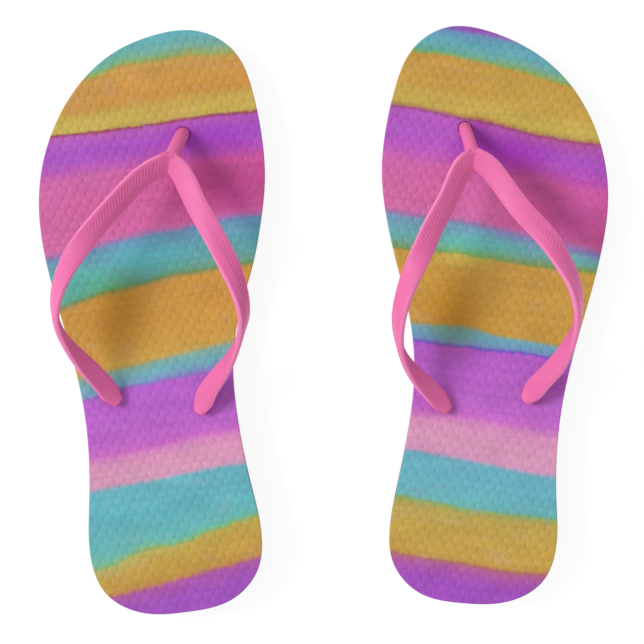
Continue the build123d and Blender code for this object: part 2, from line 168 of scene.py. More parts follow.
# x, y, reach in x, reach in y, what the ink is multiplied by there (linear), how much. These are painted shadows and
# painted light: the darkening ones paint the strap's cast shadow into the print, the brightening ones paint light to
# offset the strap's cast shadow
PAINTED_SHADOW_AND_LIGHT = {
    "left": [
        (-91.0, 3.0, 12.0, 16.0, (0.88, 0.74, 0.34), 0.8),
        (-104.0, 17.0, 16.0, 7.0, (0.90, 1.20, 0.90), 0.8),
        (-80.0, 29.0, 17.0, 7.0, (1.0, 1.34, 1.30), 0.8),
        (-76.0, 50.0, 9.0, 14.0, (1.10, 1.16, 1.14), 0.8),
        (-37.0, 50.0, 9.0, 12.0, (1.22, 1.22, 1.34), 0.8),
        (-48.0, 79.0, 17.0, 7.0, (0.84, 0.58, 0.92), 0.85),
    ],
    "right": [
        (58.0, 3.0, 12.0, 16.0, (0.88, 0.74, 0.34), 0.8),
        (66.0, 31.0, 17.0, 7.0, (0.96, 1.40, 1.24), 0.9),
        (70.0, 50.0, 9.0, 12.0, (1.10, 1.20, 1.16), 0.8),
        (114.0, 44.0, 9.0, 12.0, (1.14, 1.24, 1.30), 0.8),
        (80.0, 74.0, 19.0, 7.5, (0.88, 0.40, 0.92), 0.9),
        (69.0, 83.0, 8.0, 7.0, (0.78, 0.40, 0.82), 0.7),
    ],
}


# ------------------------------------------------------------------ small maths
def smooth(t):
    t = np.clip(t, 0.0, 1.0)
    return t * t * (3 - 2 * t)


def top_z(y):
    """Height of the footbed's top face at y."""
    u = np.clip(np.asarray(y, float) / RAMP_HEEL_Y, 0, 1)
    return FRONT_H + (HEEL_H - FRONT_H) * (1 - np.cos(np.pi * u)) / 2


def unit(a):
    return a / np.linalg.norm(a, axis=-1, keepdims=True)


def closed_spline(points, count):
    """Evenly spaced points on the smooth closed curve through the given ones, counter-clockwise."""
    P = np.array(points, float)
    n = len(P)
    h = np.linalg.norm(np.roll(P, -1, 0) - P, axis=1)
    A, B = np.zeros((n, n)), np.zeros((n, 2))
    for i in range(n):
        j = (i + 1) % n
        A[i, i - 1] += h[i - 1]
        A[i, i] += 2 * (h[i - 1] + h[i])
        A[i, j] += h[i]
        B[i] = 6 * ((P[j] - P[i]) / h[i] - (P[i] - P[i - 1]) / h[i - 1])
    M = np.linalg.solve(A, B)
    out = []
    for i in range(n):
        j = (i + 1) % n
        s = h[i]
        t = np.linspace(0, s, 40, endpoint=False)[:, None]
        out.append(M[i] * (s - t) ** 3 / (6 * s) + M[j] * t ** 3 / (6 * s)
                   + (P[i] / s - M[i] * s / 6) * (s - t) + (P[j] / s - M[j] * s / 6) * t)
    D = np.vstack(out)
    D = np.vstack([D, D[:1]])
    L = np.r_[0, np.cumsum(np.linalg.norm(np.diff(D, axis=0), axis=1))]
    s = np.linspace(0, L[-1], count, endpoint=False)
    ring = np.stack([np.interp(s, L, D[:, 0]), np.interp(s, L, D[:, 1])], 1)
    area = 0.5 * np.sum(ring[:, 0] * np.roll(ring[:, 1], -1) - np.roll(ring[:, 0], -1) * ring[:, 1])
    return ring if area > 0 else ring[::-1].copy()


def open_spline(points, step):
    """Samples of the natural cubic spline through rows of numbers, about step apart in their first three."""
    P = np.array(points, float)
    n = len(P)
    h = np.linalg.norm(np.diff(P[:, :3], axis=0), axis=1)
    A, B = np.eye(n), np.zeros((n, P.shape[1]))
    for i in range(1, n - 1):
        A[i, i - 1], A[i, i], A[i, i + 1] = h[i - 1], 2 * (h[i - 1] + h[i]), h[i]
        B[i] = 6 * ((P[i + 1] - P[i]) / h[i] - (P[i] - P[i - 1]) / h[i - 1])
    M = np.linalg.solve(A, B)
    out = []
    for i in range(n - 1):
        s = h[i]
        t = np.linspace(0, s, max(2, round(s / step)), endpoint=False)[:, None]
        out.append(M[i] * (s - t) ** 3 / (6 * s) + M[i + 1] * t ** 3 / (6 * s)
                   + (P[i] / s - M[i] * s / 6) * (s - t) + (P[i + 1] / s - M[i + 1] * s / 6) * t)
    out.append(P[-1:])
    return np.vstack(out)


def outward(ring):
    """Unit normals of a counter-clockwise closed ring, pointing out."""
    t = unit(np.roll(ring, -1, 0) - np.roll(ring, 1, 0))
    return np.stack([t[:, 1], -t[:, 0]], 1)


def circle(c, r, n):
    a = np.arange(n) * 2 * np.pi / n
    return np.stack([c[0] + r * np.cos(a), c[1] + r * np.sin(a)], 1)


def in_ring(points, ring):
    """Which points are inside a closed ring."""
    inside = np.zeros(len(points), bool)
    for p, q in zip(ring, np.roll(ring, -1, 0)):
        k = (p[1] > points[:, 1]) != (q[1] > points[:, 1])
        inside[k] ^= points[k, 0] < p[0] + (points[k, 1] - p[1]) / (q[1] - p[1]) * (q[0] - p[0])
    return inside


def turn(points, centre, degrees):
    a = math.radians(degrees)
    d = np.asarray(points, float) - centre
    return np.stack([d[:, 0] * math.cos(a) + d[:, 1] * math.sin(a), -d[:, 0] * math.sin(a) + d[:, 1] * math.cos(a)], 1)


def unturn(points, centre, degrees):
    a = math.radians(degrees)
    p = np.asarray(points, float)
    return np.stack([p[:, 0] * math.cos(a) - p[:, 1] * math.sin(a), p[:, 0] * math.sin(a) + p[:, 1] * math.cos(a)], 1) + centre


def lattice(ring, du, dv, clear, holes):
    """Staggered grid points inside a ring, clear of it and of the holes (x, y, r)."""
    inner = ring - outward(ring) * clear
    lo, hi = inner.min(0), inner.max(0)
    rows = []
    for j in range(math.ceil(lo[1] / dv), math.floor(hi[1] / dv) + 1):
        v = j * dv
        p, q = inner, np.roll(inner, -1, 0)
        k = (p[:, 1] - v) * (q[:, 1] - v) < 0
        cuts = np.sort(p[k, 0] + (v - p[k, 1]) / (q[k, 1] - p[k, 1]) * (q[k, 0] - p[k, 0]))
        off = du / 2 if j % 2 else 0.0
        for a, b in zip(cuts[::2], cuts[1::2]):
            u = np.arange(math.ceil((a - off) / du), math.floor((b - off) / du) + 1) * du + off
            rows.append(np.stack([u, np.full(len(u), v)], 1))
    pts = np.vstack(rows)
    for x, y, r in holes:
        pts = pts[np.hypot(pts[:, 0] - x, pts[:, 1] - y) > r]
    return pts


def fill(rings, extra):
    """Triangles of the area inside the first ring and outside the others, through the extra points.
    Point numbers run over the rings in order, then over the extra points."""
    pts = np.vstack(list(rings) + [extra])
    edges, start, owner = [], 0, np.full(len(pts), -1)
    for k, r in enumerate(rings):
        n = len(r)
        edges += [(start + i, start + (i + 1) % n) for i in range(n)]
        owner[start:start + n] = k
        start += n
    co, _, faces, *_ = delaunay_2d_cdt([Vector(p) for p in pts.tolist()], edges, [], 0, 1e-7, False)
    if len(co) != len(pts):
        raise RuntimeError("the triangulation merged or added points")
    T = np.array([tuple(f) for f in faces])
    own = owner[T]
    keep = np.ones(len(T), bool)
    for k in range(len(rings)):
        same = np.all(own == k, axis=1)
        mid = pts[T[same]].mean(1)
        hit = in_ring(mid, rings[k])
        keep[np.flatnonzero(same)[~hit if k == 0 else hit]] = False
    T = T[keep]
    a, b, c = pts[T[:, 0]], pts[T[:, 1]], pts[T[:, 2]]
    flip = (b[:, 0] - a[:, 0]) * (c[:, 1] - a[:, 1]) - (b[:, 1] - a[:, 1]) * (c[:, 0] - a[:, 0]) < 0
    T[flip] = T[flip][:, ::-1]
    return T


class Solid:
    """Collects points, faces and per-point numbers, then makes one mesh piece."""

    def __init__(self):
        self.co, self.faces, self.count, self.extra = [], [], 0, {}

    def points(self, xyz, **numbers):
        xyz = np.asarray(xyz, float)
        i = np.arange(self.count, self.count + len(xyz))
        self.co.append(xyz)
        for k, v in numbers.items():
            self.extra.setdefault(k, {})[self.count] = np.broadcast_to(v, len(xyz))
        self.count += len(xyz)
        return i

    def ring(self, xy, z, **numbers):
        return self.points(np.c_[xy, np.broadcast_to(z, len(xy))], **numbers)

    def bridge(self, a, b):
        """Quads between two rings of point numbers of one length; a is the lower or outer of a counter-clockwise pair."""
        a2, b2 = np.roll(a, -1), np.roll(b, -1)
        self.faces += np.stack([a, a2, b2, b], 1).tolist()

    def tris(self, T, flip=False):
        T = np.asarray(T)
        self.faces += (T[:, ::-1] if flip else T).tolist()

    def build(self, name, material):
        co = np.vstack(self.co)
        mesh = bpy.data.meshes.new(name)
        mesh.from_pydata((co * 0.001).tolist(), [], self.faces)
        mesh.validate()
        add_vector(mesh, "rest", co)
        for k, parts in self.extra.items():
            full = np.zeros(self.count)
            for start, v in parts.items():
                full[start:start + len(v)] = v
            add_float(mesh, k, full)
        return piece(name, mesh, material)


def add_vector(mesh, name, values):
    a = mesh.attributes.new(name, "FLOAT_VECTOR", "POINT")
    a.data.foreach_set("vector", np.ascontiguousarray(values, np.float32).ravel())


def add_float(mesh, name, values):
    a = mesh.attributes.new(name, "FLOAT", "POINT")
    a.data.foreach_set("value", np.ascontiguousarray(values, np.float32))


def piece(name, mesh, material, sharp=None):
    mesh.polygons.foreach_set("use_smooth", np.ones(len(mesh.polygons), bool))
    mesh.update()
    if sharp:
        mesh.set_sharp_from_angle(angle=math.radians(sharp))
    o = bpy.data.objects.new(name, mesh)
    bpy.context.scene.collection.objects.link(o)
    o.data.materials.append(material)
    return o


# ------------------------------------------------------------------ materials
def linear(rgb):
    c = np.array(rgb, float) / 255
    c = np.where(c <= 0.04045, c / 12.92, ((c + 0.055) / 1.055) ** 2.4)
    return (*c.tolist(), 1.0)


class Shader:
    """A material's node tree, written as expressions."""

    def __init__(self, name):
        self.mat = bpy.data.materials.new(name)
        self.mat.use_nodes = True
        self.nodes, self.links = self.mat.node_tree.nodes, self.mat.node_tree.links
        self.nodes.clear()

    def add(self, kind, ins=None, **props):
        n = self.nodes.new("ShaderNode" + kind)
        for k, v in props.items():
            setattr(n, k, v)
        for k, v in (ins or {}).items():
            self.put(n.inputs[k], v)
        return n

    def put(self, socket, v):
        if isinstance(v, bpy.types.NodeSocket):
            self.links.new(v, socket)
        else:
            socket.default_value = v

    def attr(self, name, out="Fac"):
        return self.add("Attribute", attribute_name=name).outputs[out]

    def math(self, op, a, b=0.0, clamp=False):
        return self.add("Math", {0: a, 1: b}, operation=op, use_clamp=clamp).outputs[0]

    def madd(self, a, m, c):
        return self.add("Math", {0: a, 1: m, 2: c}, operation="MULTIPLY_ADD").outputs[0]

    def scale(self, v, s):
        return self.add("VectorMath", {0: v, 1: s}, operation="MULTIPLY").outputs[0]

    def noise(self, v, scale, detail=2.0, rough=0.5, kind="3D"):
        return self.add("TexNoise", {"Vector": v, "Scale": scale, "Detail": detail, "Roughness": rough}, noise_dimensions=kind).outputs["Fac"]

    def voronoi(self, v, scale, feature="F1"):
        return self.add("TexVoronoi", {"Vector": v, "Scale": scale}, feature=feature).outputs["Distance"]

    def span(self, v, a, b, c=0.0, d=1.0, kind="SMOOTHSTEP"):
        return self.add("MapRange", {0: v, 1: a, 2: b, 3: c, 4: d}, interpolation_type=kind).outputs[0]

    def mix(self, f, a, b, blend="MIX"):
        n = self.add("Mix", data_type="RGBA", blend_type=blend)
        self.put(n.inputs[0], f)
        self.put(n.inputs[6], a)
        self.put(n.inputs[7], b)
        return n.outputs[2]

    def grey(self, v):
        return self.add("CombineColor", {0: v, 1: v, 2: v}).outputs[0]

    def ramp(self, f, stops):
        n = self.add("ValToRGB", {0: f})
        e = n.color_ramp.elements
        while len(e) > 1:
            e.remove(e[-1])
        e[0].position, e[0].color = stops[0]
        for p, c in stops[1:]:
            e.new(p).color = c
        return n.outputs[0]

    def bump(self, height, strength, distance, normal=None):
        ins = {"Height": height, "Strength": strength, "Distance": distance}
        if normal is not None:
            ins["Normal"] = normal
        return self.add("Bump", ins).outputs[0]

    def finish(self, **ins):
        b = self.add("BsdfPrincipled")
        for k, v in ins.items():
            self.put(b.inputs[k.replace("_", " ")], v)
        out = self.add("OutputMaterial")
        self.links.new(b.outputs[0], out.inputs[0])
        return self.mat


def stripe_table(side):
    """Each edge's place along the stripe coordinate, in millimetres from the first edge."""
    xs = np.linspace(OUTLINE_RING[side][:, 0].min() + 8, OUTLINE_RING[side][:, 0].max() - 8, 30)
    ys = [edge_y(e, xs).mean() for e in EDGES[side]]
    return [ys[0] - y for y in ys]


def edge_y(edge, x):
    """Height (y) of a stripe's edge at x, carried on straight past both its ends."""
    e = np.array(edge, float)
    y = np.interp(x, e[:, 0], e[:, 1])
    slope = (e[-1, 1] - e[0, 1]) / (e[-1, 0] - e[0, 0])
    y = np.where(x < e[0, 0], e[0, 1] + (x - e[0, 0]) * slope, y)
    return np.where(x > e[-1, 0], e[-1, 1] + (x - e[-1, 0]) * slope, y)


def stripe_place(side, xy):
    """The stripe coordinate of each point: it reaches an edge's table value exactly on that edge."""
    Q = stripe_table(side)
    d = np.stack([edge_y(e, xy[:, 0]) - xy[:, 1] for e in EDGES[side]], 1)
    q = Q[0] + d[:, 0]
    for i in range(len(Q) - 1):
        gap = np.maximum(d[:, i] - d[:, i + 1], 0.5)
        f = d[:, i] / gap
        q = np.where(d[:, i] >= 0, Q[i] + np.minimum(f, 1.0) * (Q[i + 1] - Q[i]), q)
    return np.where(d[:, -1] >= 0, Q[-1] + d[:, -1], q)


STRIPE_LO, STRIPE_HI = -30.0, 275.0


def print_ramp(s, q, side, first):
    """The stripes' colours along the stripe coordinate, on the left (first=0) or right (first=3), as three ramps joined in the middles of stripes."""
    Q = stripe_table(side)
    rows = STRIPES[side]
    stops, middles = [], []
    for i, row in enumerate(rows):
        a = Q[i - 1] + rows[i - 1][6] / 2 if i else STRIPE_LO
        b = Q[i] - row[6] / 2 if i < len(Q) else STRIPE_HI
        start, mid, end = row[first:first + 3]
        entry = a + min(3.0, 0.22 * (b - a))
        if i:
            stops.append((a, start))
        stops.append((entry if i else a, tuple(np.add(np.multiply(start, 0.45), np.multiply(mid, 0.55)))))
        m = (a + b) / 2 if 0 < i < len(rows) - 1 else (b - 8 if i == 0 else a + 8)
        middles.append((len(stops), m))
        stops.append((m, mid))
        if i < len(Q):
            if i == TWO_TONE[side]:
                stops += [(a + 0.57 * (b - a), mid), (a + 0.74 * (b - a), tuple(np.add(np.multiply(end, 0.8), np.multiply(mid, 0.2))))]
            else:
                leave = b - min(3.5, 0.22 * (b - a)) if i else b - 3
                stops.append((leave, tuple(np.add(np.multiply(end, 0.35), np.multiply(mid, 0.65)))))
            stops.append((b, end))
            if row[7]:
                stops += [(Q[i] - 0.3, row[7]), (Q[i] + 0.3, row[7])]
    # the sheet's own sheen adds a little white, so the ink starts a little deeper
    ink_of = lambda c: (*np.maximum(np.array(linear(c)[:3]) - 0.013, 0.006).tolist(), 1.0)
    norm = lambda x: (x - STRIPE_LO) / (STRIPE_HI - STRIPE_LO)
    f = s.span(q, STRIPE_LO, STRIPE_HI, 0.0, 1.0, "LINEAR")
    third = len(rows) // 3
    k1, cut1 = middles[third]
    k2, cut2 = middles[2 * third]
    parts = [s.ramp(f, [(norm(p), ink_of(c)) for p, c in part]) for part in (stops[:k1 + 1], stops[k1:k2 + 1], stops[k2:])]
    ink = s.mix(s.math("GREATER_THAN", f, norm(cut1)), parts[0], parts[1])
    return s.mix(s.math("GREATER_THAN", f, norm(cut2)), ink, parts[2])


def footbed_material(side):
    s = Shader(f"{side}_printed_rubber")
    rest = s.attr("rest", "Vector")
    q = s.attr("stripe")
    # wet brush edges: a slow wander, a finer one, and pebbles that carry the colour over the line
    wide = s.noise(s.scale(rest, (0.06, 0.11, 0.0)), 1.0, 2.0)
    fine = s.noise(s.scale(rest, (0.34, 0.34, 0.0)), 1.0, 3.0, 0.6)
    q = s.madd(wide, 1.6, s.math("SUBTRACT", q, 0.8))
    q = s.madd(fine, 2.1, s.math("SUBTRACT", q, 1.05))
    lateral = s.math("ADD", s.attr("lateral"), s.madd(s.noise(s.scale(rest, (0.03, 0.05, 0.0)), 1.0, 3.0), 0.5, -0.25))
    ink = s.mix(s.span(lateral, 0.25, 0.75), print_ramp(s, q, side, 0), print_ramp(s, q, side, 3))
    # watercolour pools and long brush streaks
    pool = s.noise(s.scale(rest, (0.05, 0.08, 0.0)), 1.0, 3.0, 0.55)
    a = math.radians(8 if side == "left" else -8)
    along = s.add("VectorMath", {0: rest, 1: (math.cos(a), math.sin(a), 0)}, operation="DOT_PRODUCT").outputs["Value"]
    over = s.add("VectorMath", {0: rest, 1: (-math.sin(a), math.cos(a), 0)}, operation="DOT_PRODUCT").outputs["Value"]
    brush = s.add("CombineXYZ", {0: s.math("MULTIPLY", along, 0.045), 1: s.math("MULTIPLY", over, 0.42)}).outputs[0]
    streak = s.noise(brush, 1.0, 3.0, 0.6)
    shade = s.madd(pool, 0.36, s.madd(streak, 0.34, 0.65))
    ink = s.mix(1.0, ink, s.grey(shade), "MULTIPLY")
    # pale strokes where the brush ran dry
    dry = s.noise(s.add("CombineXYZ", {0: s.math("MULTIPLY", along, 0.036), 1: s.math("MULTIPLY", over, 0.17), 2: 7.0}).outputs[0], 1.0, 3.0, 0.62)
    ink = s.mix(s.span(dry, 0.56, 0.80, 0.0, 0.16), ink, s.mix(0.5, ink, linear((236, 206, 222))))
    # the hue drifts a little within each stripe, cooler here and pinker there
    drift = s.noise(s.scale(rest, (0.055, 0.10, 0.0)), 1.0, 3.0, 0.6)
    ink = s.mix(s.span(drift, 0.52, 0.80, 0.0, 0.10), ink, linear((150, 150, 206)))
    ink = s.mix(s.span(drift, 0.20, 0.48, 0.08, 0.0), ink, linear((226, 132, 186)))
    # painted shadow and painted light: the ink is darkened where the strap's shadow falls and brightened to offset that
    # shadow elsewhere
    for x, y, rx, ry, tint, amount in PAINTED_SHADOW_AND_LIGHT[side]:
        off = s.add("VectorMath", {0: rest, 1: (x, y, 0)}, operation="SUBTRACT").outputs[0]
        far = s.add("VectorMath", {0: s.scale(off, (1 / rx, 1 / ry, 0.0))}, operation="LENGTH").outputs["Value"]
        ink = s.mix(s.span(far, 0.25, 1.6, amount, 0.0), ink, (*tint, 1.0), "MULTIPLY")
    # painted shade: the ink is a little darker in the pebbles' grooves and lighter on their crowns; fine specks vary
    # its tone at random
    peb = s.attr("pebble")
    speck = s.noise(rest, 1.9, 2.0, 0.6)
    ink = s.mix(1.0, ink, s.grey(s.madd(peb, 0.03, s.madd(speck, 0.20, 0.905))), "MULTIPLY")
    # below the rolled rim the sheet is bare black rubber
    edge = s.math("ADD", s.attr("rim"), s.madd(s.noise(rest, 0.9, 2.0), 0.3, -0.15))
    bare = linear((30, 28, 32))
    rub = s.mix(s.noise(rest, 1.3, 3.0), bare, linear((46, 43, 47)))
    bare_mask = s.span(edge, 0.42, 0.58)
    colour = s.mix(bare_mask, ink, rub)
    grain = s.madd(s.noise(rest, 2.6, 3.0, 0.65), 0.7, s.math("MULTIPLY", s.voronoi(rest, 1.5), 0.35))
    normal = s.bump(grain, 0.35, 0.00012)
    rough = s.madd(s.noise(rest, 0.7, 2.0), 0.16, s.madd(bare_mask, 0.12, 0.46))
    return s.finish(Base_Color=colour, Roughness=rough, Normal=normal, Specular_IOR_Level=0.24)


def strap_material():
    s = Shader("moulded_strap_rubber")
    rest = s.attr("rest", "Vector")
    cloud = s.noise(rest, 0.06, 2.0)
    colour = s.mix(cloud, linear((222, 104, 162)), linear((229, 113, 170)))
    fine = s.noise(rest, 1.6, 3.0, 0.6)
    colour = s.mix(1.0, colour, s.grey(s.madd(fine, 0.06, 0.97)), "MULTIPLY")
    # painted shade in the rib grooves: the pink is deepened there
    colour = s.mix(s.math("MULTIPLY", s.attr("groove"), 0.24), colour, linear((186, 70, 126)))
    # painted highlight: the thin moulded edges are painted lighter, as if light came through them
    colour = s.mix(s.math("MULTIPLY", s.attr("edge"), 0.50), colour, linear((246, 150, 198)))
    grain = s.madd(s.noise(rest, 3.2, 3.0, 0.6), 0.6, s.math("MULTIPLY", s.noise(rest, 0.8, 2.0), 0.4))
    normal = s.bump(grain, 0.25, 0.00010)
    rough = s.madd(s.noise(rest, 0.5, 3.0), 0.14, 0.42)
    return s.finish(Base_Color=colour, Roughness=rough, Normal=normal, Specular_IOR_Level=0.24,
                    Subsurface_Weight=0.32, Subsurface_Radius=(1.0, 0.30, 0.66), Subsurface_Scale=0.0016,
                    Coat_Weight=0.05, Coat_Roughness=0.3)


def foam_material():
    s = Shader("closed_cell_foam")
    rest = s.attr("rest", "Vector")
    cell = s.voronoi(rest, 1.35)
    skin = s.noise(rest, 0.22, 4.0, 0.6)
    colour = s.mix(skin, linear((31, 30, 33)), linear((44, 42, 46)))
    colour = s.mix(s.span(cell, 0.0, 0.28, 0.35, 0.0), colour, linear((14, 14, 16)))
    scuff = s.span(s.noise(s.scale(rest, (0.05, 0.05, 0.9)), 1.0, 4.0, 0.7), 0.62, 0.78, 0.0, 0.35)
    colour = s.mix(scuff, colour, linear((66, 64, 68)))
    height = s.madd(cell, 0.6, s.math("MULTIPLY", s.noise(rest, 2.4, 3.0, 0.6), 0.4))
    return s.finish(Base_Color=colour, Roughness=s.madd(skin, 0.2, 0.66), Normal=s.bump(height, 0.45, 0.00015), Specular_IOR_Level=0.22)


def outsole_material():
    s = Shader("outsole_rubber")
    rest = s.attr("rest", "Vector")
    mottle = s.noise(rest, 0.12, 4.0, 0.6)
    colour = s.mix(mottle, linear((24, 24, 26)), linear((38, 37, 40)))
    # faint grey wear on the faces that touch the ground
    wear = s.math("MULTIPLY", s.attr("wear"), s.span(s.noise(rest, 0.16, 5.0, 0.7), 0.42, 0.72, 0.05, 0.5))
    colour = s.mix(wear, colour, linear((84, 81, 82)))
    height = s.madd(s.noise(rest, 1.8, 4.0, 0.65), 0.7, s.math("MULTIPLY", s.voronoi(rest, 2.2), 0.3))
    rough = s.madd(mottle, 0.18, s.madd(wear, 0.25, 0.50))
    return s.finish(Base_Color=colour, Roughness=rough, Normal=s.bump(height, 0.4, 0.00012), Specular_IOR_Level=0.32)


# ------------------------------------------------------------------ soles
RIM_N = 560
OUTLINE_RING = {k: closed_spline(v, RIM_N) for k, v in OUTLINE.items()}
OUT_NORMAL = {k: outward(v) for k, v in OUTLINE_RING.items()}
PRINT_TURN = {"left": 10.3, "right": -10.3}
PRINT_CENTRE = {"left": np.array((-75.0, 0.0)), "right": np.array((75.0, 0.0))}
CELL_U, CELL_V = 4.97, 3.18
PEBBLE_H = 0.34


def pebbles(uv, seed):
    """Height 0..1 of the moulded pebble pattern: staggered rounded cells, with the deepest hollows between neighbours of one row."""
    rng = np.random.default_rng(seed)
    J = rng.uniform(-1, 1, (160, 96, 4))
    u, v = uv[:, 0], uv[:, 1]
    row0 = np.round(v / CELL_V).astype(int)
    f1, f2 = np.full(len(u), 9.0), np.full(len(u), 9.0)
    dim, tall, side = np.zeros(len(u)), np.zeros(len(u)), np.zeros(len(u))
    for dr in (-1, 0, 1):
        row = row0 + dr
        off = np.where(row % 2 == 1, CELL_U / 2, 0.0)
        col0 = np.round((u - off) / CELL_U).astype(int)
        for dc in (-1, 0, 1):
            col = col0 + dc
            j = J[(row + 80) % 160, (col + 48) % 96]
            cu = col * CELL_U + off + 0.42 * j[:, 0]
            cv = row * CELL_V + 0.26 * j[:, 1]
            d = np.hypot(u - cu, 1.22 * (v - cv))
            near = d < f1
            f2 = np.where(near, f1, np.minimum(f2, d))
            f1 = np.where(near, d, f1)
            dim = np.where(near, j[:, 2], dim)
            tall = np.where(near, j[:, 3], tall)
            side = np.where(near, np.abs(u - cu), side)
    hollow = 0.34 + 0.66 * smooth((side / np.maximum(f1, 0.3) - 0.50) / 0.42)
    h = 1 - 0.66 * hollow * (1 + 0.3 * dim) * (1 - smooth((f2 - f1) / 1.35)) - 0.30 * np.clip(f1 / 2.5, 0, 1) ** 2
    h -= np.where(tall > 0.3, 0.24, 0.05) * np.exp(-((f1 / 0.70) ** 2))
    return np.clip(h, 0, 1.1)


def holes_of(side):
    return [POST[side], *PEGS[side]]


def footbed(side, material):
    ring, nrm = OUTLINE_RING[side], OUT_NORMAL[side]
    holes = holes_of(side)
    c, a = PRINT_CENTRE[side], PRINT_TURN[side]
    inset = 0.75
    edge = ring - nrm * inset
    hole_rings = [circle(h, HOLE_R + 0.30, 56) for h in holes]
    local = turn(ring, c, a)
    lh = turn(np.array(holes), c, a)
    grid = unturn(lattice(local, 0.497, 0.53, inset + 0.38, [(x, y, HOLE_R + 0.68) for x, y in lh]), c, a)
    xy = np.vstack([edge, *hole_rings, grid])
    T = fill([edge, *hole_rings], grid)
    s = Solid()
    xs = ring[:, 0]
    span = (xs.min(), xs.max())

    def numbers(p):
        return {"stripe": stripe_place(side, p), "lateral": (p[:, 0] - span[0]) / (span[1] - span[0])}

    def height(p):
        peb = pebbles(turn(p, c, a), 11)
        # the pattern dies away on the small dished lips round the strap's holes
        for h in holes:
            d = np.hypot(p[:, 0] - h[0], p[:, 1] - h[1])
            peb = peb * smooth((d - HOLE_R - 0.1) / 1.2) + 0.6 * (1 - smooth((d - HOLE_R - 0.1) / 1.2))
        return peb

    peb = height(xy)
    top = s.points(np.c_[xy, top_z(xy[:, 1]) - PEBBLE_H * (1 - peb) * 1.0], pebble=peb, rim=0.0, **numbers(xy))
    s.tris(top[T])
    # rolled rim, then the sheet's side wall
    n = len(ring)
    above, peb_edge = top[:n], peb[:n]
    for d, drop, rim in ((0.46, 0.05, 0.0), (0.22, 0.16, 0.0), (0.06, 0.36, 0.12), (0.0, 0.66, 0.35), (0.03, 1.0, 1.0), (0.09, 1.7, 1.0),
                         (0.15, 2.45, 1.0), (0.27, 2.8, 1.0), (0.55, 3.0, 1.0)):
        p = ring - nrm * d
        follow = max(0.0, 1 - drop / 0.5)
        z = top_z(p[:, 1]) - np.maximum(drop, PEBBLE_H * (1 - peb_edge) * follow + drop * (1 - follow) * 1.0)
        below = s.ring(p, z, rim=rim, pebble=peb_edge * follow + 0.5 * (1 - follow), **numbers(p))
        s.bridge(below, above)
        above = below
    rings, low = [ring - nrm * 0.55], [above]
    start = n
    for hc in holes:
        m = 56
        up = top[start:start + m]
        start += m
        for r, drop in ((HOLE_R + 0.02, 0.22), (HOLE_R - 0.12, 0.50), (HOLE_R - 0.12, 1.8), (HOLE_R - 0.02, 3.0)):
            p = circle(hc, r, m)
            down = s.ring(p, top_z(p[:, 1]) - drop, rim=1.0 if drop > 0.6 else 0.1, pebble=0.5, **numbers(p))
            s.bridge(up, down)
            up = down
        rings.append(circle(hc, HOLE_R - 0.02, m))
        low.append(up)
    cap = unturn(lattice(local, 6.0, 5.2, 3.0, [(x, y, HOLE_R + 3.0) for x, y in lh]), c, a)
    inner = s.ring(cap, top_z(cap[:, 1]) - 3.0, rim=1.0, pebble=0.5, **numbers(cap))
    F = fill(rings, cap)
    s.tris(np.concatenate([*low, inner])[F], flip=True)
    return s.build(f"{side}_footbed_sheet", material)


def midsole(side, material):
    ring, nrm = OUTLINE_RING[side], OUT_NORMAL[side]
    c, a = PRINT_CENTRE[side], PRINT_TURN[side]
    holes = holes_of(side)
    s = Solid()
    local = turn(ring, c, a)
    lh = turn(np.array(holes), c, a)
    cap = unturn(lattice(local, 4.0, 3.5, 2.4, [(x, y, HOLE_R + 2.4) for x, y in lh]), c, a)
    # side wall from the bottom up, as (share of the height, inset)
    wall = [(0.0, 0.45, 0.0), (0.0, 0.12, 0.30), (0.04, 0.0, 0.30), (0.2, 0.0, 0), (0.36, 0.05, 0), (0.5, 0.10, 0), (0.64, 0.05, 0),
            (0.8, 0.0, 0), (0.96, 0.0, -0.30), (1.0, 0.12, -0.30), (1.0, 0.45, 0.0)]
    prev = first = None
    for share, d, lift in wall:
        p = ring - nrm * (d + 0.16 + 0.16 * (1 - share))
        hi = top_z(p[:, 1]) - FOOTBED_T
        k = s.ring(p, OUTSOLE_T + (hi - OUTSOLE_T) * share + lift * 0.8)
        if prev is None:
            first = k
        else:
            s.bridge(prev, k)
        prev = k
    last = prev
    rings = [ring - nrm * 0.69] + [circle(h, HOLE_R, 40) for h in holes]
    F = fill(rings, cap)
    ends = []
    for face in ("low", "high"):
        z = (lambda y: np.full(len(y), OUTSOLE_T)) if face == "low" else (lambda y: top_z(y) - FOOTBED_T)
        hr = [s.ring(r, z(r[:, 1])) for r in rings[1:]]
        inner = s.ring(cap, z(cap[:, 1]))
        s.tris(np.concatenate([first if face == "low" else last, *hr, inner])[F], flip=face == "low")
        ends.append(hr)
    for lo_r, hi_r in zip(*ends):
        s.bridge(hi_r, lo_r)
    return s.build(f"{side}_foam_wedge", material)


